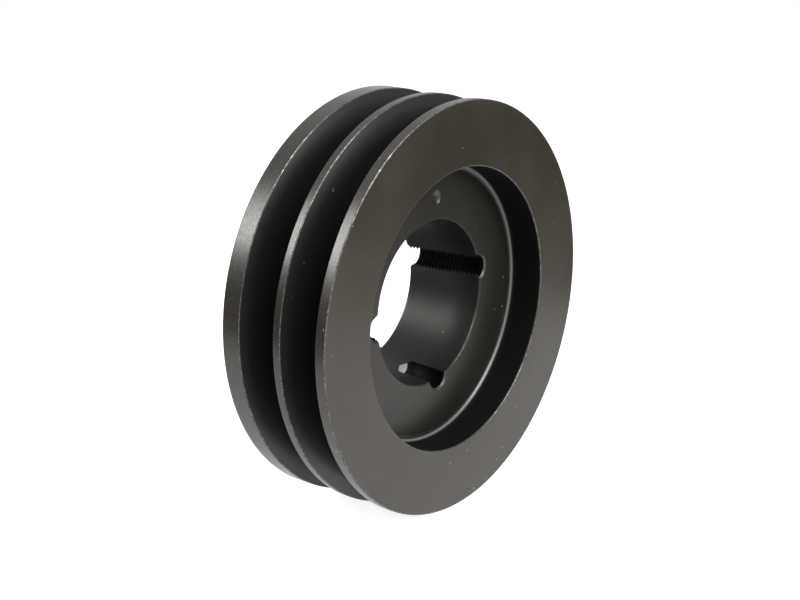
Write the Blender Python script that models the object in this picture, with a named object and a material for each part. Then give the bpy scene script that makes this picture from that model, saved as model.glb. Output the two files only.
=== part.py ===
"""A two-groove V-belt pulley with a taper bore, standing on its rim, and the loose taper bush set
down close behind it with its two clamp screws and its shaft key.

Metres, +Z up. The origin is the pulley's centre: on its axis, halfway across its face width. The
axis lies along Y, and the front, where the bush goes in, faces -Y.
"""

import math

import bmesh
import bpy
from mathutils import Matrix, Vector

# Rim and belt grooves
DATUM_DIAMETER = 0.2000
DATUM_TO_RIM = 0.0048
RIM_RADIUS = DATUM_DIAMETER / 2 + DATUM_TO_RIM
FACE_WIDTH = 0.0630
FRONT_Y = -FACE_WIDTH / 2
REAR_Y = FACE_WIDTH / 2
GROOVE_COUNT = 2
GROOVE_PITCH = 0.0255
FIRST_GROOVE_FROM_FRONT = 0.0162
GROOVE_TOP_WIDTH = 0.0216
GROOVE_DEPTH = 0.0240
GROOVE_ANGLE = math.radians(34)
GROOVE_ROOT_RADIUS = 0.0010
LAND_EDGE_BREAK = 0.0003
RIM_EDGE_BREAK = 0.0006

# Hub, and the recess in front of it
HUB_LENGTH = 0.0440
HUB_FACE_Y = REAR_Y - HUB_LENGTH
RECESS_RADIUS = 0.0720
RECESS_FLOOR_RADIUS = 0.0035
RECESS_EDGE_BREAK = 0.0006

# Taper shared by the hub's bore and the bush
TAPER_RADIUS = 0.04285
TAPER_SLOPE = math.tan(math.radians(4))
BORE_EDGE_BREAK = 0.0004

# Half-holes shared by the hub and the bush: half of each hole is cut in one, half in the other
SCREW_RADIUS = 0.00635
SCREW_LENGTH = 0.0254
HALF_HOLE_CIRCLE_RADIUS = 0.0419
CLAMP_SEAT_DEPTH = 0.0270
REMOVAL_SEAT_DEPTH = 0.0216
HALF_HOLE_MOUTH_BREAK = 0.0010
DRILL_POINT_SLOPE = math.tan(math.radians(59))
REMOVAL_ANGLE = math.radians(279)
CLAMP_OFFSETS = (math.radians(93.8), math.radians(-95.4))

# Round dimple drilled in the hub's face
DIMPLE_RADIUS = 0.0038
DIMPLE_CIRCLE_RADIUS = 0.0540
DIMPLE_ANGLE = math.radians(86)

# Bush
BUSH_LENGTH = 0.04445
SHAFT_RADIUS = 0.0250
BUSH_EDGE_BREAK = 0.0007
SLIT_WIDTH = 0.0030
FIT_GAP = 0.0003

# Key between the bush and its shaft
KEY_WIDTH = 0.0140
KEY_HEIGHT = 0.0090
KEY_LENGTH = 0.0440
KEYWAY_DEPTH = 0.0038
KEY_EDGE_BREAK = 0.0005
KEY_FROM_REMOVAL = math.radians(-47)

# Where the bush stands: its small end is down, level with the bottom of the rim
FLOOR_Z = -RIM_RADIUS
BUSH_X = 0.0240
BUSH_Y = REAR_Y + FIT_GAP + TAPER_RADIUS
BUSH_REMOVAL_ANGLE = math.radians(60)

# Clamp screws
SOCKET_ACROSS_FLATS = 0.00635
SOCKET_DEPTH = 0.0080
SCREW_EDGE_BREAK = 0.0010

RIM_SEGMENTS = 96
BUSH_SEGMENTS = 72
HOLE_SEGMENTS = 28
CORNER_STEPS = 4
PAST_FACE = 0.0020


def clear_scene():
    for old in list(bpy.data.objects):
        bpy.data.objects.remove(old)


def material(name, color, roughness, metallic):
    made = bpy.data.materials.new(name)
    made.use_nodes = True
    shader = made.node_tree.nodes["Principled BSDF"]
    shader.inputs["Base Color"].default_value = (*color, 1)
    shader.inputs["Roughness"].default_value = roughness
    shader.inputs["Metallic"].default_value = metallic
    return made


def object_from(bm, name, finish=None):
    bmesh.ops.recalc_face_normals(bm, faces=bm.faces)
    mesh = bpy.data.meshes.new(name)
    bm.to_mesh(mesh)
    bm.free()
    if finish:
        mesh.materials.append(finish)
    made = bpy.data.objects.new(name, mesh)
    bpy.context.scene.collection.objects.link(made)
    return made


def shade_round(obj, angle=math.radians(25)):
    """Smooth shading that keeps turned and cut edges sharp."""
    obj.data.shade_smooth()
    obj.data.set_sharp_from_angle(angle=angle)


def turned(name, outline, segments, finish=None):
    """A body of revolution about its own Z axis. The outline is (radius, height) points in order.
    It is closed into a ring unless both of its ends lie on the axis."""
    bm = bmesh.new()
    corners = [bm.verts.new((radius, 0, height)) for radius, height in outline]
    edges = [bm.edges.new(pair) for pair in zip(corners, corners[1:])]
    if outline[0][0] > 0 or outline[-1][0] > 0:
        edges.append(bm.edges.new((corners[-1], corners[0])))
    bmesh.ops.spin(
        bm, geom=corners + edges, axis=(0, 0, 1), cent=(0, 0, 0),
        angle=math.tau, steps=segments, use_merge=True,
    )
    bmesh.ops.remove_doubles(bm, verts=bm.verts, dist=1e-6)
    return object_from(bm, name, finish)


def box(name, size, finish=None, bevel=0.0):
    """A box centred on its own origin."""
    bm = bmesh.new()
    bmesh.ops.create_cube(bm, size=1, matrix=Matrix.Diagonal((*size, 1)))
    if bevel:
        bmesh.ops.bevel(
            bm, geom=bm.edges, offset=bevel, offset_type="OFFSET", affect="EDGES",
            segments=1, profile=0.5, material=-1,
        )
    return object_from(bm, name, finish)


def lay_along_y(obj, x, y, z):
    """Turns an object's own Z axis to +Y and moves its origin to (x, y, z)."""
    obj.location = (x, y, z)
    obj.rotation_euler = (math.radians(-90), 0, 0)


def cut(target, cutter):
    cutter.hide_render = True
    cutter.display_type = "WIRE"
    boolean = target.modifiers.new(cutter.name, "BOOLEAN")
    boolean.operation = "DIFFERENCE"
    boolean.solver = "EXACT"
    boolean.object = cutter


def on_circle(radius, angle):
    return radius * math.cos(angle), radius * math.sin(angle)


def rounded_corner(center, radius, start, end):
    """Points along an arc in the (radius, height) plane, from one angle to another."""
    points = []
    for step in range(CORNER_STEPS + 1):
        angle = start + (end - start) * step / CORNER_STEPS
        x, y = on_circle(radius, angle)
        points.append((center[0] + x, center[1] + y))
    return points


# %% Pulley


def groove_outline(center_y):
    """One belt groove, from its front edge down to the root and up to its rear edge."""
    wall_slope = math.tan(GROOVE_ANGLE / 2)
    root_radius = RIM_RADIUS - GROOVE_DEPTH
    half_top = GROOVE_TOP_WIDTH / 2
    half_root = half_top - GROOVE_DEPTH * wall_slope
    rise = GROOVE_ROOT_RADIUS
    front = [
        (RIM_RADIUS, center_y - half_top - LAND_EDGE_BREAK),
        (RIM_RADIUS - LAND_EDGE_BREAK, center_y - half_top + LAND_EDGE_BREAK * wall_slope),
        (root_radius + rise, center_y - half_root - rise * wall_slope),
        (root_radius, center_y - half_root + rise),
    ]
    rear = [(radius, 2 * center_y - y) for radius, y in reversed(front)]
    return front + rear


def bore_radius(y):
    return TAPER_RADIUS - (y - HUB_FACE_Y) * TAPER_SLOPE


def pulley_outline():
    rim = [(RIM_RADIUS - RIM_EDGE_BREAK, FRONT_Y), (RIM_RADIUS, FRONT_Y + RIM_EDGE_BREAK)]
    for index in range(GROOVE_COUNT):
        rim += groove_outline(FRONT_Y + FIRST_GROOVE_FROM_FRONT + index * GROOVE_PITCH)
    rim += [(RIM_RADIUS, REAR_Y - RIM_EDGE_BREAK), (RIM_RADIUS - RIM_EDGE_BREAK, REAR_Y)]
    bore = [
        (bore_radius(REAR_Y) + BORE_EDGE_BREAK, REAR_Y),
        (bore_radius(REAR_Y - BORE_EDGE_BREAK), REAR_Y - BORE_EDGE_BREAK),
        (bore_radius(HUB_FACE_Y + BORE_EDGE_BREAK), HUB_FACE_Y + BORE_EDGE_BREAK),
        (TAPER_RADIUS + BORE_EDGE_BREAK, HUB_FACE_Y),
    ]
    corner = (RECESS_RADIUS - RECESS_FLOOR_RADIUS, HUB_FACE_Y - RECESS_FLOOR_RADIUS)
    recess = rounded_corner(corner, RECESS_FLOOR_RADIUS, math.radians(90), 0)
    recess += [
        (RECESS_RADIUS, FRONT_Y + RECESS_EDGE_BREAK),
        (RECESS_RADIUS + RECESS_EDGE_BREAK, FRONT_Y),
    ]
    return rim + bore + recess


def through_half_hole_cutter(name):
    """A full round cutter along the whole hub, with a broken edge at both mouths."""
    wide = SCREW_RADIUS + HALF_HOLE_MOUTH_BREAK
    ends = [(0, -PAST_FACE), (wide, -PAST_FACE), (wide, 0), (SCREW_RADIUS, HALF_HOLE_MOUTH_BREAK)]
    far = [(radius, HUB_LENGTH - height) for radius, height in reversed(ends)]
    return turned(name, ends + far, HOLE_SEGMENTS)


def blind_half_hole_cutter(name):
    """A drilled hole with a broken edge at its mouth and a drill point at its end."""
    wide = SCREW_RADIUS + HALF_HOLE_MOUTH_BREAK
    outline = [
        (0, -PAST_FACE),
        (wide, -PAST_FACE),
        (wide, 0),
        (SCREW_RADIUS, HALF_HOLE_MOUTH_BREAK),
        (SCREW_RADIUS, REMOVAL_SEAT_DEPTH),
        (0, REMOVAL_SEAT_DEPTH + SCREW_RADIUS / DRILL_POINT_SLOPE),
    ]
    return turned(name, outline, HOLE_SEGMENTS)


def dimple_cutter(name):
    depth = DIMPLE_RADIUS / DRILL_POINT_SLOPE
    slope = DIMPLE_RADIUS / depth
    outline = [(0, -PAST_FACE), (DIMPLE_RADIUS + PAST_FACE * slope, -PAST_FACE), (0, depth)]
    return turned(name, outline, HOLE_SEGMENTS)


def make_pulley():
    iron = material("pulley_iron", (0.075, 0.070, 0.060), 0.42, 0.85)
    pulley = turned("pulley", pulley_outline(), RIM_SEGMENTS, iron)
    shade_round(pulley)
    lay_along_y(pulley, 0, 0, 0)
    for number, offset in enumerate(CLAMP_OFFSETS, 1):
        x, z = on_circle(HALF_HOLE_CIRCLE_RADIUS, REMOVAL_ANGLE + offset)
        cutter = through_half_hole_cutter(f"cut_hub_clamp_{number}")
        lay_along_y(cutter, x, HUB_FACE_Y, z)
        cut(pulley, cutter)
    x, z = on_circle(HALF_HOLE_CIRCLE_RADIUS, REMOVAL_ANGLE)
    removal = blind_half_hole_cutter("cut_hub_removal")
    lay_along_y(removal, x, HUB_FACE_Y, z)
    cut(pulley, removal)
    x, z = on_circle(DIMPLE_CIRCLE_RADIUS, DIMPLE_ANGLE)
    dimple = dimple_cutter("cut_hub_dimple")
    lay_along_y(dimple, x, HUB_FACE_Y, z)
    cut(pulley, dimple)


# %% Bush


def bush_place(radius, angle_from_removal, height):
    """A point on the standing bush, by its angle from the removal half-hole."""
    x, y = on_circle(radius, BUSH_REMOVAL_ANGLE + angle_from_removal)
    return Vector((BUSH_X + x, BUSH_Y + y, FLOOR_Z + height))


def bush_outline():
    small = TAPER_RADIUS - BUSH_LENGTH * TAPER_SLOPE
    edge = BUSH_EDGE_BREAK
    return [
        (SHAFT_RADIUS + edge, 0),
        (small - edge, 0),
        (small + edge * TAPER_SLOPE, edge),
        (TAPER_RADIUS - edge * TAPER_SLOPE, BUSH_LENGTH - edge),
        (TAPER_RADIUS - edge, BUSH_LENGTH),
        (SHAFT_RADIUS + edge, BUSH_LENGTH),
        (SHAFT_RADIUS, BUSH_LENGTH - edge),
        (SHAFT_RADIUS, edge),
    ]


def upright_hole_cutter(name, radius, bottom):
    """A straight round cutter from one height in the bush up past its top face."""
    top = BUSH_LENGTH + PAST_FACE
    return turned(name, [(0, bottom), (radius, bottom), (radius, top), (0, top)], HOLE_SEGMENTS)


def make_bush():
    iron = material("bush_iron", (0.060, 0.060, 0.058), 0.40, 0.85)
    bush = turned("taper_bush", bush_outline(), BUSH_SEGMENTS, iron)
    shade_round(bush)
    bush.location = bush_place(0, 0, 0)
    for number, offset in enumerate(CLAMP_OFFSETS, 1):
        clamp = upright_hole_cutter(
            f"cut_bush_clamp_{number}", SCREW_RADIUS + FIT_GAP, BUSH_LENGTH - CLAMP_SEAT_DEPTH
        )
        clamp.location = bush_place(HALF_HOLE_CIRCLE_RADIUS, offset, 0)
        cut(bush, clamp)
    removal = upright_hole_cutter("cut_bush_removal", SCREW_RADIUS, -PAST_FACE)
    removal.location = bush_place(HALF_HOLE_CIRCLE_RADIUS, 0, 0)
    cut(bush, removal)
    tall = BUSH_LENGTH + 2 * PAST_FACE
    slit = box("cut_bush_slit", (TAPER_RADIUS, SLIT_WIDTH, tall))
    slit.location = bush_place(SHAFT_RADIUS / 2 + TAPER_RADIUS / 2, math.pi, BUSH_LENGTH / 2)
    slit.rotation_euler.z = BUSH_REMOVAL_ANGLE
    cut(bush, slit)
    keyway = box("cut_bush_keyway", (SHAFT_RADIUS, KEY_WIDTH + 2 * FIT_GAP, tall))
    keyway_middle = SHAFT_RADIUS / 2 + KEYWAY_DEPTH
    keyway.location = bush_place(keyway_middle, KEY_FROM_REMOVAL, BUSH_LENGTH / 2)
    keyway.rotation_euler.z = BUSH_REMOVAL_ANGLE + KEY_FROM_REMOVAL
    cut(bush, keyway)


# %% Screws and key


def screw_outline():
    edge = SCREW_EDGE_BREAK
    return [
        (0, 0),
        (SCREW_RADIUS - edge, 0),
        (SCREW_RADIUS, edge),
        (SCREW_RADIUS, SCREW_LENGTH - edge),
        (SCREW_RADIUS - edge, SCREW_LENGTH),
        (0, SCREW_LENGTH),
    ]


def socket_cutter(name):
    bm = bmesh.new()
    corner_radius = SOCKET_ACROSS_FLATS / 2 / math.cos(math.radians(30))
    height = SOCKET_DEPTH + PAST_FACE
    bmesh.ops.create_cone(
        bm, cap_ends=True, segments=6, radius1=corner_radius, radius2=corner_radius, depth=height,
        matrix=Matrix.Translation((0, 0, SCREW_LENGTH - SOCKET_DEPTH + height / 2)),
    )
    return object_from(bm, name)


def make_clamp_screws():
    steel = material("screw_steel", (0.045, 0.045, 0.048), 0.35, 0.9)
    seat = BUSH_LENGTH - CLAMP_SEAT_DEPTH + FIT_GAP
    for number, offset in enumerate(CLAMP_OFFSETS, 1):
        screw = turned(f"clamp_screw_{number}", screw_outline(), HOLE_SEGMENTS, steel)
        shade_round(screw)
        screw.location = bush_place(HALF_HOLE_CIRCLE_RADIUS, offset, seat)
        socket = socket_cutter(f"cut_socket_{number}")
        socket.location = screw.location
        cut(screw, socket)


def make_shaft_key():
    steel = material("key_steel", (0.42, 0.42, 0.43), 0.32, 1.0)
    key = box("shaft_key", (KEY_HEIGHT, KEY_WIDTH, KEY_LENGTH), steel, KEY_EDGE_BREAK)
    middle = SHAFT_RADIUS + KEYWAY_DEPTH - FIT_GAP - KEY_HEIGHT / 2
    key.location = bush_place(middle, KEY_FROM_REMOVAL, KEY_LENGTH / 2)
    key.rotation_euler.z = BUSH_REMOVAL_ANGLE + KEY_FROM_REMOVAL


clear_scene()
make_pulley()
make_bush()
make_clamp_screws()
make_shaft_key()
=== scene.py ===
# %% [markdown]
# # A two-groove V-belt pulley and its taper bush
#
# The pulley is one iron casting, turned all over and then phosphated, which leaves it nearly black
# with a dull satin shine. Two V grooves for wedge belts run round its rim. Its front is recessed,
# and the hub behind the recess has a taper bore with three half-holes at its edge. A split bush
# fits that bore. Here the bush is out, and stands behind the pulley with its screws and its key.
#
# The solids of the working model come first, as a fixed frame. Everything below adds looks to it
# and never moves it.

# %% Load the frame
import math

import bmesh
import bpy
from mathutils import Matrix, Vector


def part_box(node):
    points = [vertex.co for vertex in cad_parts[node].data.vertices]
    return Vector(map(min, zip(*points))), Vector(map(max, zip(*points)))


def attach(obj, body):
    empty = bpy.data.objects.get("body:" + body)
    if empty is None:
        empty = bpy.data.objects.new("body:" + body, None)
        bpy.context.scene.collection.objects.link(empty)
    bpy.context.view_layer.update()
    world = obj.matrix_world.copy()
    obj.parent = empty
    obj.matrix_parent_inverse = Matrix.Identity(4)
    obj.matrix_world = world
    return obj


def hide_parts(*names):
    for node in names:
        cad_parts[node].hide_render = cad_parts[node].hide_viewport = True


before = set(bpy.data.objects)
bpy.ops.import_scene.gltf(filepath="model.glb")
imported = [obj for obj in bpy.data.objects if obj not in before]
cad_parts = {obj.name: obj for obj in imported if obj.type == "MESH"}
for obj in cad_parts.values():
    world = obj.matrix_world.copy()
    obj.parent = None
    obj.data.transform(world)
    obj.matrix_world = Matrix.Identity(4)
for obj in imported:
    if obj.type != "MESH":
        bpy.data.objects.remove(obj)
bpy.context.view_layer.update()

# %% [markdown]
# ## Sizes
#
# The rim's radius, its two faces and the bush's place are read off the frame's boxes, so they can't
# drift away from it. The sizes inside those boxes repeat the working model's own: the grooves, the
# hub, the recess, the taper and the screw holes. The screws have a coarse 55 degree thread with
# twelve turns to the inch, which the working model leaves out and which is cut here.

# %% Sizes of the pulley
pulley_low, pulley_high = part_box("pulley")
RIM_RADIUS = pulley_high[2]
FRONT_Y = pulley_low[1]
REAR_Y = pulley_high[1]
GROOVE_COUNT = 2
GROOVE_PITCH = 0.0255
FIRST_GROOVE_FROM_FRONT = 0.0162
GROOVE_TOP_WIDTH = 0.0216
GROOVE_DEPTH = 0.0240
GROOVE_WALL_SLOPE = math.tan(math.radians(17))
HUB_FACE_Y = REAR_Y - 0.0440
RECESS_RADIUS = 0.0720
TAPER_RADIUS = 0.04285
TAPER_SLOPE = math.tan(math.radians(4))
REMOVAL_ANGLE = math.radians(279)
CLAMP_OFFSETS = (math.radians(93.8), math.radians(-95.4))
HOLE_CIRCLE_RADIUS = 0.0419
SCREW_RADIUS = 0.00635
print(f"rim {RIM_RADIUS * 2000:.1f} mm across, {(REAR_Y - FRONT_Y) * 1000:.1f} mm wide")

# %% Sizes of the rounds
EDGE_ROUND = 0.0006
FINE_ROUND = 0.0004
GROOVE_ROOT_ROUND = 0.0015
RECESS_FOOT_ROUND = 0.0035
print(f"outer edges rounded to {EDGE_ROUND * 1000:.1f} mm")

# %% Sizes of the thread
THREAD_PITCH = 0.0254 / 12
THREAD_DEPTH = 0.64 * THREAD_PITCH
print(f"thread {THREAD_PITCH * 1000:.2f} mm a turn, {THREAD_DEPTH * 1000:.2f} mm deep")

# %% [markdown]
# ## Outlines with rounded corners
#
# A turned part is its outline spun round its axis. The real outline has no sharp corner: each edge
# has been broken with a file or the tool's nose radius, and that small round is what catches the
# light as a thin bright line. So an outline is written as corners with a radius each, and a helper
# turns each corner into an arc. It also puts a guard point just past each end of the arc. Smooth
# shading averages normals at shared points, and without the guard the broad flat faces would look
# slightly dished.

# %% Round the corners of an outline
ARC_STEPS = 6
GUARD = 0.00025


def rounded(corners):
    """Points of a closed outline. Each corner is (radius, along, size of its round)."""
    points = []
    for index, (radius, along, size) in enumerate(corners):
        here = Vector((radius, along))
        back = Vector(corners[index - 1][:2]) - here
        ahead = Vector(corners[(index + 1) % len(corners)][:2]) - here
        if size == 0:
            points.append(here)
            continue
        half = back.angle(ahead) / 2
        reach = size / math.tan(half)
        middle = here + (back.normalized() + ahead.normalized()).normalized() * size / math.sin(half)
        start = here + back.normalized() * reach - middle
        turn = (here + ahead.normalized() * reach - middle).angle_signed(start)
        points.append(here + back.normalized() * (reach + GUARD))
        for step in range(ARC_STEPS + 1):
            points.append(middle + Matrix.Rotation(turn * step / ARC_STEPS, 2) @ start)
        points.append(here + ahead.normalized() * (reach + GUARD))
    return points


# %% [markdown]
# ## From outline to mesh
#
# `bmesh.ops.spin` sweeps the outline round an axis and, with `use_merge`, joins the last copy to the
# first. Three helpers finish a piece: one writes the mesh to an object, one cuts one object with
# another by a Boolean, keeps the result and removes the cutter, and one sets the shading. A
# finished piece's object stays at the origin, with its place in its mesh.

# %% Write a mesh to an object
def write_piece(bm, name):
    bmesh.ops.remove_doubles(bm, verts=bm.verts, dist=1e-7)
    bmesh.ops.recalc_face_normals(bm, faces=bm.faces)
    mesh = bpy.data.meshes.new(name)
    bm.to_mesh(mesh)
    bm.free()
    piece = bpy.data.objects.new(name, mesh)
    bpy.context.scene.collection.objects.link(piece)
    return piece


# %% Spin an outline
def spun(outline, place, steps, name, closed=True):
    """Spins (radius, along) points round an axis. `place` puts +Z, the axis, where it belongs."""
    bm = bmesh.new()
    corners = [bm.verts.new((radius, 0, along)) for radius, along in outline]
    edges = [bm.edges.new(pair) for pair in zip(corners, corners[1:])]
    if closed:
        edges.append(bm.edges.new((corners[-1], corners[0])))
    bmesh.ops.spin(
        bm, geom=corners + edges, axis=(0, 0, 1), cent=(0, 0, 0),
        angle=math.tau, steps=steps, use_merge=True,
    )
    bmesh.ops.transform(bm, matrix=place, verts=bm.verts)
    return write_piece(bm, name)


# %% Cut one piece with another
def combine(piece, cutter, operation="DIFFERENCE"):
    """Applies a Boolean to a piece and removes the other object."""
    boolean = piece.modifiers.new("cut", "BOOLEAN")
    boolean.operation = operation
    boolean.solver = "EXACT"
    boolean.object = cutter
    graph = bpy.context.evaluated_depsgraph_get()
    result = bpy.data.meshes.new_from_object(piece.evaluated_get(graph))
    piece.modifiers.clear()
    piece.data = result
    bpy.data.objects.remove(cutter)


# %% Shade a finished piece
def soften(piece, angle=25):
    """Smooth shading that stays sharp across edges steeper than the angle, in degrees."""
    piece.data.shade_smooth()
    piece.data.set_sharp_from_angle(angle=math.radians(angle))


# %% [markdown]
# ## The pulley's body
#
# The outline runs from the front edge of the rim across the two grooves to the rear edge, in along
# the flat back to the bore, forward along the taper, out across the hub's face, and forward again
# along the wall of the recess. A wedge belt touches only the two walls of its groove, and the root
# below it stays clear.

# %% One groove's corners
def groove_corners(middle):
    half_top = GROOVE_TOP_WIDTH / 2
    half_root = half_top - GROOVE_DEPTH * GROOVE_WALL_SLOPE
    root = RIM_RADIUS - GROOVE_DEPTH
    return [
        (RIM_RADIUS, middle - half_top, FINE_ROUND),
        (root, middle - half_root, GROOVE_ROOT_ROUND),
        (root, middle + half_root, GROOVE_ROOT_ROUND),
        (RIM_RADIUS, middle + half_top, FINE_ROUND),
    ]


# %% Spin the pulley
ALONG_Y = Matrix.Rotation(math.radians(-90), 4, "X")
outline = [(RIM_RADIUS, FRONT_Y, EDGE_ROUND)]
for index in range(GROOVE_COUNT):
    outline += groove_corners(FRONT_Y + FIRST_GROOVE_FROM_FRONT + index * GROOVE_PITCH)
outline += [
    (RIM_RADIUS, REAR_Y, EDGE_ROUND),
    (TAPER_RADIUS - (REAR_Y - HUB_FACE_Y) * TAPER_SLOPE, REAR_Y, FINE_ROUND),
    (TAPER_RADIUS, HUB_FACE_Y, FINE_ROUND),
    (RECESS_RADIUS, HUB_FACE_Y, RECESS_FOOT_ROUND),
    (RECESS_RADIUS, FRONT_Y, EDGE_ROUND),
]
PULLEY_STEPS = 288
pulley = spun(rounded(outline), ALONG_Y, PULLEY_STEPS, "pulley_body")
print("pulley outline spun:", len(pulley.data.polygons), "faces")

# %% [markdown]
# ## Threads
#
# Two of the hub's half-holes are tapped. A thread could be painted on with a bump, but at the edge
# of the bore it is seen in profile, so it is cut for real. The tap is a rod with a helical thread:
# a zigzag outline with one tooth for each turn, spun once round while it climbs by one tooth. After
# one turn each tooth meets the next one's start, and the doubles merge. The ragged ends are cut off
# square and filled.

# %% A threaded rod
def threaded_rod(radius, length, place, name):
    """A rod with a right-hand thread along +Z from 0 to its length."""
    bm = bmesh.new()
    turns = math.ceil(length / THREAD_PITCH) + 3
    tooth = ((0.00, 0), (0.14, 0), (0.50, THREAD_DEPTH), (0.64, THREAD_DEPTH))
    chain = []
    for turn in range(-2, turns):
        for part, rise in tooth:
            height = (turn + part) * THREAD_PITCH
            chain.append(bm.verts.new((radius - THREAD_DEPTH + rise, 0, height)))
    edges = [bm.edges.new(pair) for pair in zip(chain, chain[1:])]
    steps = 40
    bmesh.ops.spin(
        bm, geom=chain + edges, axis=(0, 0, 1), cent=(0, 0, 0),
        dvec=(0, 0, THREAD_PITCH / steps), angle=math.tau, steps=steps, use_merge=False,
    )
    bmesh.ops.remove_doubles(bm, verts=bm.verts, dist=1e-6)
    for height, outward in ((0, -1), (length, 1)):
        bmesh.ops.bisect_plane(
            bm, geom=bm.verts[:] + bm.edges[:] + bm.faces[:], dist=1e-7,
            plane_co=(0, 0, height), plane_no=(0, 0, outward), clear_outer=True,
        )
        rim = [edge for edge in bm.edges if edge.is_boundary]
        level = [edge for edge in rim if all(abs(v.co.z - height) < 1e-6 for v in edge.verts)]
        bmesh.ops.edgeloop_fill(bm, edges=level)
    bmesh.ops.transform(bm, matrix=place, verts=bm.verts)
    return write_piece(bm, name)


# %% [markdown]
# ## The hub's half-holes and its dimple
#
# Each screw sits half in the hub and half in the bush. The two clamp holes run right through and
# are tapped in the hub, so that turning a screw in drives the bush deeper into the taper. The third
# is plain and blind with a drill point: the screw that pushes the bush out again bears on its end.
# All three have a countersunk mouth. The small dimple in the hub's face is a drill's touch.
#
# Each hole is the shape of its drill or tap, cut from the hub with a Boolean. A helper gives the
# place of a drill in the hub's face: its own +Z then points into the hub.

# %% Drills and countersinks
MOUTH_BREAK = 0.0010
PAST_FACE = 0.0020
DRILL_POINT = math.tan(math.radians(59))
HOLE_STEPS = 64
print(f"half-holes {SCREW_RADIUS * 2000:.1f} mm across, on a {HOLE_CIRCLE_RADIUS * 1000:.1f} mm radius")


def in_hub(angle, radius=HOLE_CIRCLE_RADIUS):
    """Where a hole along the axis starts in the hub's face, at an angle seen from the front."""
    center = Vector((radius * math.cos(angle), HUB_FACE_Y, radius * math.sin(angle)))
    return Matrix.Translation(center) @ ALONG_Y


def countersink(place):
    wide = SCREW_RADIUS + MOUTH_BREAK + PAST_FACE
    tip = SCREW_RADIUS - MOUTH_BREAK
    deep = MOUTH_BREAK * 2
    outline = ((0, -PAST_FACE), (wide, -PAST_FACE), (tip, deep), (0, deep))
    return spun(outline, place, HOLE_STEPS, "countersink", closed=False)


def drill(place, radius, depth, point=True):
    """A drill's shape, from just outside the face to its depth, with or without its point."""
    end = depth + radius / DRILL_POINT if point else depth
    outline = ((0, -PAST_FACE), (radius, -PAST_FACE), (radius, depth), (0, end))
    return spun(outline, place, HOLE_STEPS, "drill", closed=False)


# %% Tap the two clamp holes
hub_length = REAR_Y - HUB_FACE_Y
for offset in CLAMP_OFFSETS:
    mouth = in_hub(REMOVAL_ANGLE + offset)
    tap_start = mouth @ Matrix.Translation((0, 0, -PAST_FACE))
    combine(pulley, threaded_rod(SCREW_RADIUS, hub_length + 2 * PAST_FACE, tap_start, "tap"))
    combine(pulley, countersink(mouth))
    rear_mouth = mouth @ Matrix.Translation((0, 0, hub_length)) @ Matrix.Rotation(math.pi, 4, "X")
    combine(pulley, countersink(rear_mouth))
print("two tapped half-holes:", len(pulley.data.polygons), "faces")

# %% Drill the removal hole and the dimple
REMOVAL_SEAT_DEPTH = 0.0216
combine(pulley, drill(in_hub(REMOVAL_ANGLE), SCREW_RADIUS, REMOVAL_SEAT_DEPTH))
combine(pulley, countersink(in_hub(REMOVAL_ANGLE)))
DIMPLE_RADIUS = 0.0038
DIMPLE_ANGLE = math.radians(86)
DIMPLE_FROM_AXIS = 0.0540
SMALL_HOLE_STEPS = 48
past_edge = DIMPLE_RADIUS + PAST_FACE * DRILL_POINT
dimple_outline = ((0, -PAST_FACE), (past_edge, -PAST_FACE), (0, DIMPLE_RADIUS / DRILL_POINT))
dimple_place = in_hub(DIMPLE_ANGLE, DIMPLE_FROM_AXIS)
combine(pulley, spun(dimple_outline, dimple_place, SMALL_HOLE_STEPS, "dimple", closed=False))
soften(pulley)
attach(pulley, "pulley")
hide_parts("pulley")
print("pulley finished:", len(pulley.data.polygons), "faces")

# %% [markdown]
# ## The taper bush
#
# The bush is what makes this pulley usable: its outside fits the pulley's taper, its bore and
# keyway fit the shaft, and a slit lets it close on the shaft as the screws pull it in. It stands on
# its small end, so its axis is upright. Its half-holes are the other halves of the pulley's: the
# two clamp ones are plain and stop partway, because the screws press on their ends, and the third
# is tapped, for the screw that pushes the bush out again.

# %% Turn the bush
bush_low, bush_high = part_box("taper_bush")
BUSH_LENGTH = bush_high[2] - bush_low[2]
BUSH_X = (bush_low[0] + bush_high[0]) / 2
BUSH_Y = (bush_low[1] + bush_high[1]) / 2
SHAFT_RADIUS = 0.0250
BUSH_REMOVAL_ANGLE = math.radians(60)
BUSH_STEPS = 192


def on_bush(radius, angle, height):
    """A place on the bush: an angle from its third half-hole, turned so that +X points outwards."""
    turn = Matrix.Rotation(BUSH_REMOVAL_ANGLE + angle, 4, "Z")
    foot = Matrix.Translation((BUSH_X, BUSH_Y, bush_low[2]))
    return foot @ turn @ Matrix.Translation((radius, 0, height))


small_end = TAPER_RADIUS - BUSH_LENGTH * TAPER_SLOPE
bush_outline = (
    (SHAFT_RADIUS, 0, EDGE_ROUND),
    (small_end, 0, EDGE_ROUND),
    (TAPER_RADIUS, BUSH_LENGTH, EDGE_ROUND),
    (SHAFT_RADIUS, BUSH_LENGTH, EDGE_ROUND),
)
bush = spun(rounded(bush_outline), on_bush(0, 0, 0), BUSH_STEPS, "split_bush")
print(f"bush turned, {TAPER_RADIUS * 2000:.1f} mm across its large end")

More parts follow.
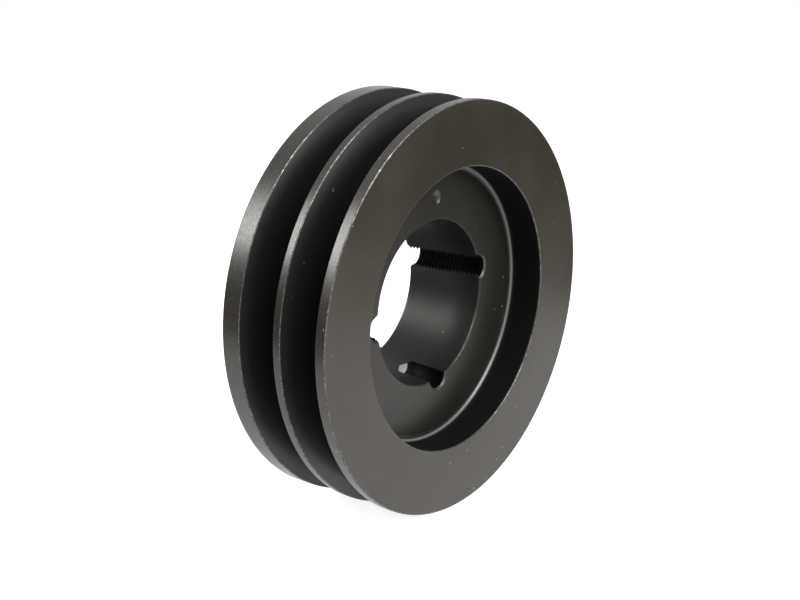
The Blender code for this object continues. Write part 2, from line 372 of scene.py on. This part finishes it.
# %% Cut the bush's half-holes
CLAMP_SEAT_DEPTH = 0.0270
FIT_GAP = 0.0003
DOWNWARD = Matrix.Rotation(math.pi, 4, "X")
for offset in CLAMP_OFFSETS:
    mouth = on_bush(HOLE_CIRCLE_RADIUS, offset, BUSH_LENGTH) @ DOWNWARD
    combine(bush, drill(mouth, SCREW_RADIUS + FIT_GAP, CLAMP_SEAT_DEPTH, point=False))
    combine(bush, countersink(mouth))
tap_start = on_bush(HOLE_CIRCLE_RADIUS, 0, -PAST_FACE)
combine(bush, threaded_rod(SCREW_RADIUS, BUSH_LENGTH + 2 * PAST_FACE, tap_start, "tap"))
combine(bush, countersink(on_bush(HOLE_CIRCLE_RADIUS, 0, BUSH_LENGTH) @ DOWNWARD))
print("three half-holes in the bush:", len(bush.data.polygons), "faces")

# %% [markdown]
# ## Slit and keyway
#
# A slitting saw cuts the bush right through on the side away from its third half-hole, and a broach
# cuts the keyway. Both are plain blocks as cutters, taller than the bush, because what is left of
# them is only their walls. The keyway's cutter has its long edges rounded, as a broach does, so
# that its floor meets its walls in a small radius and doesn't start a crack.

# %% Cut the slit and the keyway
SLIT_WIDTH = 0.0030
KEY_WIDTH = 0.0140
KEYWAY_DEPTH = 0.0038
KEY_EDGE_ROUND = 0.0005
KEY_ANGLE = math.radians(-47)


def block(size, place, name, break_edge=0.0, segments=2):
    """A block with its middle at the place, its edges rounded by break_edge."""
    bm = bmesh.new()
    bmesh.ops.create_cube(bm, size=1)
    bmesh.ops.scale(bm, vec=size, verts=bm.verts)
    if break_edge:
        bmesh.ops.bevel(
            bm, geom=bm.edges[:], offset=break_edge, offset_type="OFFSET", affect="EDGES",
            segments=segments, profile=0.5, material=-1,
        )
    bmesh.ops.transform(bm, matrix=place, verts=bm.verts)
    return write_piece(bm, name)


tall = BUSH_LENGTH + 4 * PAST_FACE
middle_height = BUSH_LENGTH / 2
slit_place = on_bush((SHAFT_RADIUS + TAPER_RADIUS) / 2, math.pi, middle_height)
combine(bush, block((TAPER_RADIUS, SLIT_WIDTH, tall), slit_place, "slit"))
keyway_size = (SHAFT_RADIUS, KEY_WIDTH + 2 * FIT_GAP, tall)
keyway_place = on_bush(SHAFT_RADIUS / 2 + KEYWAY_DEPTH, KEY_ANGLE, middle_height)
combine(bush, block(keyway_size, keyway_place, "keyway", KEY_EDGE_ROUND))
soften(bush)
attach(bush, "bush")
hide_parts("taper_bush")
print("bush finished:", len(bush.data.polygons), "faces")

# %% [markdown]
# ## Clamp screws
#
# These are socket set screws with flat ends. The thread is the same rod that tapped the holes. Its
# two ends are chamfered by keeping only what lies inside a plain round bar with chamfered ends, as
# a die starts on a chamfered bar. A hexagon with a countersunk mouth is then cut for the key.

# %% Make one screw
SCREW_LENGTH = 0.0254
SCREW_CHAMFER = 0.0012
SOCKET_ACROSS_FLATS = 0.00635
SOCKET_DEPTH = 0.0080
SOCKET_MOUTH_DEPTH = 0.0012
SOCKET_MOUTH_RISE = 0.0003


def clamp_screw(place, name):
    screw = threaded_rod(SCREW_RADIUS, SCREW_LENGTH, place, name)
    waist = SCREW_RADIUS - SCREW_CHAMFER
    bar = (
        (0, 0),
        (waist, 0),
        (SCREW_RADIUS, SCREW_CHAMFER),
        (SCREW_RADIUS, SCREW_LENGTH - SCREW_CHAMFER),
        (waist, SCREW_LENGTH),
        (0, SCREW_LENGTH),
    )
    combine(screw, spun(bar, place, HOLE_STEPS, "bar", closed=False), "INTERSECT")
    corner = SOCKET_ACROSS_FLATS / 2 / math.cos(math.radians(30))
    bm = bmesh.new()
    bmesh.ops.create_cone(
        bm, cap_ends=True, segments=6, radius1=corner, radius2=corner, depth=2 * SOCKET_DEPTH,
        matrix=place @ Matrix.Translation((0, 0, SCREW_LENGTH)),
    )
    combine(screw, write_piece(bm, "socket"))
    top = SCREW_LENGTH + SOCKET_MOUTH_RISE
    lead = (
        (0, SCREW_LENGTH - SOCKET_MOUTH_DEPTH),
        (corner + SOCKET_MOUTH_RISE, top),
        (0, top),
    )
    combine(screw, spun(lead, place, SMALL_HOLE_STEPS, "lead", closed=False))
    soften(screw)
    return screw


# %% Stand the screws in their half-holes
screws = []
for number, offset in enumerate(CLAMP_OFFSETS, 1):
    screw_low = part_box(f"clamp_screw_{number}")[0]
    place = on_bush(HOLE_CIRCLE_RADIUS, offset, screw_low[2] - bush_low[2])
    screw = clamp_screw(place, f"set_screw_{number}")
    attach(screw, f"screw_{number}")
    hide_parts(f"clamp_screw_{number}")
    screws.append((screw, place.translation))
    print(screw.name, len(screw.data.polygons), "faces")

# %% [markdown]
# ## The key
#
# A parallel key is a length of bright square-edged bar that stops the shaft turning in the bush. It
# is sawn to length and its edges are broken, so it is a block with small round edges.

# %% Make the key
KEY_HEIGHT = 0.0090
KEY_LENGTH = 0.0440
key_radius = SHAFT_RADIUS + KEYWAY_DEPTH - FIT_GAP - KEY_HEIGHT / 2
key_place = on_bush(key_radius, KEY_ANGLE, KEY_LENGTH / 2)
key_size = (KEY_HEIGHT, KEY_WIDTH, KEY_LENGTH)
key = block(key_size, key_place, "parallel_key", KEY_EDGE_ROUND, segments=3)
soften(key, 40)
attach(key, "key")
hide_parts("shaft_key")
print("key finished:", len(key.data.polygons), "faces")

# %% [markdown]
# ## Shader maths as Python
#
# A material here is mostly arithmetic on where a point lies: how far from the axis, how far along
# it, and a few noises. Written node by node that is hard to read, so a small class wraps a socket
# and lets values be added, multiplied and compared in plain expressions, each of which adds its
# Math node.

# %% A socket that does arithmetic
class Value:
    def __init__(self, nodes, socket):
        self.nodes = nodes
        self.socket = socket

    def math(self, operation, *others):
        return self.nodes.add("ShaderNodeMath", {"operation": operation}, self, *others)

    def __add__(self, other):
        return self.math("ADD", other)

    def __sub__(self, other):
        return self.math("SUBTRACT", other)

    def __rsub__(self, other):
        return (self * -1) + other

    def __mul__(self, other):
        return self.math("MULTIPLY", other)

    __radd__ = __add__
    __rmul__ = __mul__

    def above(self, low, high):
        """0 where this is under low, 1 where it is over high, and smooth between them."""
        settings = {"interpolation_type": "SMOOTHSTEP", "clamp": True}
        return self.nodes.add("ShaderNodeMapRange", settings, self, low, high, 0, 1)

    def within(self, low, high, soft=0.0002):
        """1 between low and high, and 0 outside them."""
        return self.above(low, low + soft) * (1 - self.above(high - soft, high))


# %% A tree of nodes being built
class Nodes:
    def __init__(self, tree):
        self.tree = tree

    def put(self, socket, value):
        if isinstance(value, Value):
            self.tree.links.new(value.socket, socket)
        else:
            socket.default_value = value

    def add(self, kind, settings, *values, output=0, **named):
        """Adds one node. Its settings are set first, then its sockets by order or by name."""
        node = self.tree.nodes.new(kind)
        for key, value in settings.items():
            setattr(node, key, value)
        for socket, value in zip(node.inputs, values):
            self.put(socket, value)
        for key, value in named.items():
            self.put(node.inputs[key.replace("_", " ")], value)
        return Value(self, node.outputs[output])


# %% [markdown]
# ## A finish
#
# A finish is one material on the Principled shader. Its patterns read Object coordinates, in
# metres, so a noise of scale 1000 has grains about a millimetre across. Tool marks are a noise that
# changes along one value only. On a turned part they run round its axis: on a face they change with
# the distance from the axis, and on a rim with the distance along it, so a stripe pattern that
# reads the sum of the two runs the right way on both.

# %% A material being built
class Finish(Nodes):
    def __init__(self, name):
        self.material = bpy.data.materials.new(name)
        self.material.use_nodes = True
        super().__init__(self.material.node_tree)
        self.shader = self.tree.nodes["Principled BSDF"]
        self.place = self.add("ShaderNodeTexCoord", {}, output="Object")

    def axes(self):
        return [
            self.add("ShaderNodeSeparateXYZ", {}, self.place, output=index) for index in range(3)
        ]

    def noise(self, scale, detail=2, roughness=0.5, where=None):
        return self.add(
            "ShaderNodeTexNoise", {}, Vector=where or self.place,
            Scale=scale, Detail=detail, Roughness=roughness,
        )

    def stripes(self, along, scale, detail=2):
        settings = {"noise_dimensions": "1D"}
        return self.add("ShaderNodeTexNoise", settings, W=along, Scale=scale, Detail=detail)

    def mix(self, amount, first, second):
        """A colour between two colours, each a Value or three numbers."""
        node = self.tree.nodes.new("ShaderNodeMix")
        node.data_type = "RGBA"
        self.put(node.inputs[0], amount)
        for socket, color in ((node.inputs[6], first), (node.inputs[7], second)):
            self.put(socket, color if isinstance(color, Value) else (*color, 1))
        return Value(self, node.outputs[2])

    def relief(self, height, distance, strength, under=None):
        """Bumps a few hundredths of a millimetre high, on top of any bumps under them."""
        named = {"Height": height, "Distance": distance, "Strength": strength}
        if under:
            named["Normal"] = under
        return self.add("ShaderNodeBump", {}, **named)

    def set(self, **named):
        for key, value in named.items():
            self.put(self.shader.inputs[key.replace("_", " ")], value)

    def paint(self, piece):
        piece.data.materials.clear()
        piece.data.materials.append(self.material)
        print(self.material.name, "on", piece.name)


# %% [markdown]
# ## Phosphated iron
#
# Phosphating turns clean iron into a thin skin of dark crystals, which is then oiled. The skin isn't
# a metal, so it reflects little when seen square on and much more at a shallow angle, which is why
# the rim's lands go from nearly black to silver as they curve away. It is olive brown, uneven in
# broad faint clouds, with a few pale specks where the skin is thin.
#
# Masks change it from place to place. In hollows, such as the depths of the grooves, the recess
# wall and the bore, shade is painted: the colour goes nearly black, and Metallic goes up, because a
# black metal has no white sheen of its own. On edges the skin is rubbed through to bare iron, and
# the same pale colour, laid on as a continuous thin line, is a painted highlight round the part. A
# third mask makes the skin greyer and a little darker between the two faces: fully in the grooves,
# half as much in the recess, on the hub and in the bore, and less on the lands. The pores of the
# casting show most in the lands, which are handled. Last, two painted highlights are laid on in pale
# bare-metal colour: at the point of the blind drill, and in the small round at the foot of the recess.

# %% Colours of the skin
OLIVE_DARK = (0.0110, 0.0085, 0.0038)
OLIVE_PALE = (0.0175, 0.0150, 0.0100)
GREY_SKIN = (0.0075, 0.0076, 0.0080)
PALE_SPECK = (0.30, 0.29, 0.26)
# Painted shade, nearly black, for the hollows.
PAINTED_SHADE_BLACK = (0.0032, 0.0033, 0.0038)
# Worn edges, with a painted highlight line in the same pale colour.
RUBBED_IRON_AND_HIGHLIGHT = (0.16, 0.155, 0.15)
# Painted highlights in pale bare-metal colour.
PAINTED_HIGHLIGHT_IRON = (0.30, 0.30, 0.31)
print("skin from", OLIVE_DARK, "to", OLIVE_PALE)


# %% A phosphated and oiled skin
def phosphate(name, polar, rim, greyer, painted_shade_mask, brightened):
    """polar(x, y, z) gives a point's distance from the axis, and its distance along it."""
    iron = Finish(name)
    radius, along = polar(*iron.axes())
    # Painted shade: nearly black colour, and more Metallic, where this mask is high.
    painted_shade = painted_shade_mask(radius, along)
    scuffs = iron.noise(500, 3, 0.6)
    # Edges: pale colour, partly wear and partly a painted highlight line.
    bare_and_highlight = brightened(radius, along) * (0.15 + scuffs.above(0.40, 0.70) * 0.7)
    clouds = iron.noise(16, 4, 0.55)
    grain = iron.noise(1400, 3, 0.6)
    pores = iron.noise(1900, 2, 0.6).above(0.58, 0.72)
    blotches = iron.noise(260, 4, 0.7) - 0.5
    specks = iron.noise(420, 1, 0.5).above(0.795, 0.810)
    land = radius.above(rim - 0.0012, rim - 0.0003)
    color = iron.mix(clouds.above(0.35, 0.65), OLIVE_DARK, OLIVE_PALE)
    grey = greyer(radius, along) * (1 - land * 0.6)
    color = iron.mix(grey, color, GREY_SKIN)
    color = iron.mix(specks * 0.6, color, PALE_SPECK)
    color = iron.mix(painted_shade, color, PAINTED_SHADE_BLACK)
    color = iron.mix(bare_and_highlight, color, RUBBED_IRON_AND_HIGHLIGHT)
    iron.color = color
    rough = 0.33 + (clouds - 0.5) * 0.10 + (grain - 0.5) * 0.10 + painted_shade * painted_shade * 0.60
    rough = rough + land * (pores * 0.10 + blotches * 0.20 - 0.05)
    marks = iron.stripes(radius + along, 1500, 3)
    shape = iron.relief(marks, 0.00001, 0.5)
    shape = iron.relief(grain, 0.00002, 0.35, shape)
    shape = iron.relief(1 - land * pores, 0.00005, 0.4, shape)
    iron.set(Base_Color=color, Roughness=rough, Metallic=painted_shade + bare_and_highlight, Normal=shape)
    iron.set(IOR=1.43, Specular_Tint=(1.0, 0.98, 0.95, 1.0))
    return iron


# %% Where the pulley's skin is grey
def pulley_greyer(radius, along):
    between_faces = along.within(FRONT_Y + EDGE_ROUND, REAR_Y - EDGE_ROUND)
    outside_web = radius.above(RECESS_RADIUS + 0.004, RECESS_RADIUS + 0.006)
    return between_faces * (0.5 + outside_web * 0.5)


# %% Where shade is painted on the pulley
HOLES_END = HOLE_CIRCLE_RADIUS + SCREW_RADIUS + MOUTH_BREAK
BORE_AT_ORIGIN = TAPER_RADIUS + HUB_FACE_Y * TAPER_SLOPE


def near_bore(radius):
    """1 from the axis out to the far side of the half-holes."""
    return 1 - radius.above(HOLES_END, HOLES_END + 0.0005)


def pulley_painted_shade(radius, along):
    off_front = along.above(FRONT_Y + 0.0006, FRONT_Y + 0.0015)
    off_rear = 1 - along.above(REAR_Y - 0.0012, REAR_Y - 0.0004)
    recess_wall = radius.within(RECESS_RADIUS - 0.0010, RECESS_RADIUS + 0.0006)
    recess_wall = recess_wall * (1 - along.above(HUB_FACE_Y, HUB_FACE_Y + 0.001))
    root = RIM_RADIUS - GROOVE_DEPTH
    groove = radius.above(root - 0.002, root) * (1 - radius.above(root + 0.012, root + 0.021))
    hub_face = along.within(HUB_FACE_Y - 0.0030, HUB_FACE_Y + 0.0004)
    hub_face = hub_face * (1 - radius.above(RECESS_RADIUS - 0.0030, RECESS_RADIUS - 0.0010))
    bore = along.above(HUB_FACE_Y + 0.0008, HUB_FACE_Y + 0.0012)
    bore = bore * near_bore(radius)
    deep = along.above(HUB_FACE_Y + 0.004, HUB_FACE_Y + 0.018)
    shade = recess_wall * 0.85 + groove * 0.75 + hub_face * 0.20
    hole = (radius + along * TAPER_SLOPE).above(BORE_AT_ORIGIN + 0.0003, BORE_AT_ORIGIN + 0.0008)
    return off_rear * (shade * off_front + bore * (0.7 - deep * 0.2 + hole * 0.3))


# %% Where the pulley's edges are worn, with a painted highlight line
SLIVER = 0.00002


# Edge lines: partly wear, partly a painted highlight.
def pulley_wear_and_highlight(radius, along):
    rim_edge = radius.within(RIM_RADIUS - EDGE_ROUND, RIM_RADIUS - SLIVER, 2 * SLIVER)
    mouth = along.within(HUB_FACE_Y + 0.00005, HUB_FACE_Y + 0.0010, 0.00005)
    mouth = mouth * near_bore(radius)
    recess_edge = along.within(FRONT_Y + SLIVER, FRONT_Y + EDGE_ROUND, 2 * SLIVER)
    recess_edge = recess_edge * (1 - radius.above(RECESS_RADIUS + 0.001, RECESS_RADIUS + 0.002))
    return rim_edge + mouth * 0.4 + recess_edge


# %% Finish the pulley
def pulley_polar(x, y, z):
    return (x * x + z * z).math("SQRT"), y


pulley_finish = phosphate(
    "phosphated_pulley_iron", pulley_polar, RIM_RADIUS, pulley_greyer, pulley_painted_shade, pulley_wear_and_highlight
)
pulley_finish.paint(pulley)

# %% Painted highlights at the blind drill's point and the foot of the recess
UNDER_CLAMP_HOLES = -0.030
x, y, z = pulley_finish.axes()
radius, along = pulley_polar(x, y, z)
# A painted highlight: the point of the blind drill is pale.
tip_start = HUB_FACE_Y + REMOVAL_SEAT_DEPTH
tip = along.within(tip_start + 0.0014, tip_start + SCREW_RADIUS / DRILL_POINT)
tip = tip * (1 - z.above(UNDER_CLAMP_HOLES, UNDER_CLAMP_HOLES + 0.001))
tip = tip * near_bore(radius)
tip = tip * (radius + along * TAPER_SLOPE).above(BORE_AT_ORIGIN + 0.0001, BORE_AT_ORIGIN + 0.0003)
# A painted highlight: a pale line in the small round at the foot of the recess.
foot = radius.within(RECESS_RADIUS - 0.0019, RECESS_RADIUS - 0.0004, 0.0005)
foot = foot * along.within(HUB_FACE_Y - 0.0034, HUB_FACE_Y - 0.0002)
painted_highlight_color = pulley_finish.mix(tip + foot * 0.25, pulley_finish.color, PAINTED_HIGHLIGHT_IRON)
pulley_finish.set(Base_Color=painted_highlight_color)
print("bare drill point in the blind hole, and a bright line at the foot of the recess")

# %% The bush in the same finish
def bush_polar(x, y, z):
    across = x - BUSH_X
    deep = y - BUSH_Y
    return (across * across + deep * deep).math("SQRT"), z


def bush_greyer(radius, along):
    """1 on the bush's taper, and 0 in its bore."""
    wall = TAPER_RADIUS - (bush_high[2] - 0.001) * TAPER_SLOPE
    return (radius - along * TAPER_SLOPE).above(wall - 0.0015, wall - 0.0005)


# Painted shade: the bush's bore goes nearly black, except next to its large end's face.
def bush_painted_shade(radius, along):
    face = along.above(bush_high[2] - 0.0010, bush_high[2] - 0.0004)
    return (1 - bush_greyer(radius, along)) * (1 - face) * 0.6


# The bush's end edges: partly wear, partly a painted highlight line.
def bush_wear_and_highlight(radius, along):
    upper = along.within(bush_high[2] - EDGE_ROUND, bush_high[2] - SLIVER, 2 * SLIVER)
    lower = along.within(bush_low[2] + SLIVER, bush_low[2] + EDGE_ROUND, 2 * SLIVER)
    return upper + lower


phosphate(
    "phosphated_bush_iron", bush_polar, TAPER_RADIUS + 0.01, bush_greyer, bush_painted_shade, bush_wear_and_highlight
).paint(bush)

# %% [markdown]
# ## Blacked screw steel
#
# Alloy set screws are blacked in hot salts. The oxide is thin, so the steel's shine comes through
# dark, and the tips of the thread are rubbed to a brighter grey where they have met the hub. How
# far a point is from its screw's axis tells a tip from a root.

# %% The screws' finish
def blacked_steel(name, middle):
    steel = Finish(name)
    x, y, z = steel.axes()
    across = x - middle[0]
    deep = y - middle[1]
    radius = (across * across + deep * deep).math("SQRT")
    scuffs = steel.noise(900, 3, 0.6)
    brightened = radius.above(SCREW_RADIUS - 0.0003, SCREW_RADIUS) * scuffs.above(0.35, 0.65)
    clouds = steel.noise(150, 3, 0.5)
    color = steel.mix(clouds, (0.020, 0.020, 0.024), (0.042, 0.041, 0.044))
    color = steel.mix(brightened * 0.7, color, (0.30, 0.30, 0.31))
    rough = 0.30 + (scuffs - 0.5) * 0.2
    shape = steel.relief(scuffs, 0.00001, 0.4)
    steel.set(Base_Color=color, Roughness=rough, Metallic=0.6 + brightened * 0.4, Normal=shape)
    return steel


for screw, middle in screws:
    blacked_steel(f"blacked_{screw.name}_steel", middle).paint(screw)

# %% [markdown]
# ## Bright key steel
#
# Key bar is cold drawn, which leaves its sides bright with fine lines along the length. The lines
# are a noise stretched along the bar by dividing that coordinate. A few faint oil stains dull it.

# %% The key's finish
bright = Finish("bright_drawn_steel")
x, y, z = bright.axes()
stretched = bright.add("ShaderNodeCombineXYZ", {}, x, y, z * 0.03)
lines = bright.noise(3500, 3, 0.6, stretched)
stains = bright.noise(90, 4, 0.6).above(0.45, 0.70)
color = bright.mix(stains, (0.46, 0.46, 0.47), (0.34, 0.33, 0.31))
bright.set(
    Base_Color=color,
    Roughness=0.26 + (lines - 0.5) * 0.25 + stains * 0.10,
    Metallic=1.0,
    Normal=bright.relief(lines, 0.00001, 0.35),
)
bright.paint(key)

# %% [markdown]
# ## Background and floor
#
# The object stands on a pale floor in a white room. Rays that the camera sends, and those mirrored
# or passed on by a surface, see the room white, at a strength of 1. The light that the room gives
# to rough surfaces is lower than that, so the lamps can still shape the object. The Light Path node
# tells one kind of ray from the other.

# %% The white room
def seen_directly(nodes):
    """1 for rays from the camera, reflections and glass, and 0 for scattered light."""
    kinds = ("Is Camera Ray", "Is Glossy Ray", "Is Transmission Ray")
    camera, glossy, through = [nodes.add("ShaderNodeLightPath", {}, output=kind) for kind in kinds]
    return camera.math("MAXIMUM", glossy).math("MAXIMUM", through)


ROOM_LIGHT = 0.30
world = bpy.data.worlds.new("white_room")
world.use_nodes = True
room = Nodes(world.node_tree)
background = room.tree.nodes["Background"]
background.inputs["Color"].default_value = (1, 1, 1, 1)
room.put(background.inputs["Strength"], ROOM_LIGHT + seen_directly(room) * (1 - ROOM_LIGHT))
bpy.context.scene.world = world
print("white room, giving", ROOM_LIGHT, "of its light")

# %% The floor
FLOOR_GLOW = 0.86
bm = bmesh.new()
floor_place = Matrix.Translation((0, 0, pulley_low[2]))
bmesh.ops.create_grid(bm, x_segments=1, y_segments=1, size=6, matrix=floor_place)
floor = write_piece(bm, "floor")
floor_look = Finish("white_floor")
rub = floor_look.noise(6, 3, 0.5)
floor_look.set(
    Base_Color=floor_look.mix(rub, (0.48, 0.48, 0.48), (0.52, 0.52, 0.52)),
    Roughness=0.9,
    Emission_Color=(1, 1, 1, 1),
    Emission_Strength=seen_directly(floor_look) * FLOOR_GLOW,
)
floor_look.paint(floor)

# %% [markdown]
# ## Lamps
#
# Four soft boxes light the pulley. One is high behind it on the left: the lands mirror it as a
# silver streak. One is overhead and lights the floor near the object more than far from it, and
# the front face mirrors that floor. The last two are in front and fill the recess and the grooves:
# the stronger is low on the right, and the weaker is high on the left, straight before the face.

# %% Soft boxes
def soft_box(name, place, size, watts):
    data = bpy.data.lights.new(name, "AREA")
    data.shape = "SQUARE"
    data.size = size
    data.energy = watts
    light = bpy.data.objects.new(name, data)
    light.location = place
    light.rotation_euler = (-Vector(place)).to_track_quat("-Z", "Y").to_euler()
    bpy.context.scene.collection.objects.link(light)
    print(name, watts, "W")


soft_box("high_left", (-1.05, 0.84, 0.9), 0.7, 27)
soft_box("overhead", (-0.15, -0.35, 0.8), 0.5, 8)
soft_box("front_right", (0.20, -1.32, 0.68), 0.6, 23)
soft_box("front_left", (-0.45, -1.3, 1.0), 0.9, 9)

# %% [markdown]
# ## Dark cards
#
# A dark glossy object in an all-white room looks flat, because every side of it mirrors the same
# white. So dark cards stand out of view wherever the object should fall off into shade.
# One stands on the floor to the right, in front: the upper part of the front face mirrors it, and
# the lower part mirrors the floor before it, so the face goes from dark at the top to paler at the
# bottom. A low one stands behind on the left, below the high soft box: the left end of the rim
# mirrors it between two bright stretches. Only reflections see the cards: they cast no shadow and
# no camera sees them.

# %% Stand the cards on the floor
card_look = Finish("grey_felt")
nap = card_look.noise(300, 3, 0.6)
felt = card_look.mix(nap, (0.16, 0.16, 0.16), (0.20, 0.20, 0.20))
card_look.set(Base_Color=felt, Roughness=0.95)


def dark_card(name, x, y, width, height):
    """A card standing on the floor, which faces the object."""
    turn = Matrix.Rotation(math.atan2(y, x), 4, "Z")
    place = Matrix.Translation((x, y, pulley_low[2] + height / 2)) @ turn
    card = block((0.01, width, height), place, name)
    card_look.paint(card)
    card.visible_camera = False
    card.visible_diffuse = False
    card.visible_shadow = False


dark_card("card_right", 0.33, -0.17, 0.64, 0.45)
dark_card("card_left", -0.31, 0.28, 0.7, 0.20)

# %% [markdown]
# ## Camera
#
# The camera looks from the front left and a little above, from less than a metre away, so the near
# edge of the rim looks larger than the far one. Its direction is given by two angles, and its three
# axes are the columns of its rotation.

# %% Place the camera
CAMERA_AZIMUTH = math.radians(-52.04)
CAMERA_ELEVATION = math.radians(17.62)
CAMERA_DISTANCE = 0.782
CAMERA_LENS = 69.13
AIM_RIGHT = -0.00583
AIM_UP = -0.00077
level = math.cos(CAMERA_ELEVATION)
toward_camera = Vector((
    math.sin(CAMERA_AZIMUTH) * level,
    -math.cos(CAMERA_AZIMUTH) * level,
    math.sin(CAMERA_ELEVATION),
))
right = Vector((math.cos(CAMERA_AZIMUTH), math.sin(CAMERA_AZIMUTH), 0))
up = toward_camera.cross(right)
aim = right * AIM_RIGHT + up * AIM_UP
camera_data = bpy.data.cameras.new("camera")
camera_data.lens = CAMERA_LENS
camera_data.clip_start = 0.01
camera = bpy.data.objects.new("camera", camera_data)
camera.location = aim + toward_camera * CAMERA_DISTANCE
camera.rotation_euler = Matrix((right, up, toward_camera)).transposed().to_euler()
bpy.context.scene.collection.objects.link(camera)
bpy.context.scene.camera = camera
bpy.context.scene.view_settings.view_transform = "Standard"
print("camera at", [round(value, 3) for value in camera.location])

# %% Finish
print("scene set up")
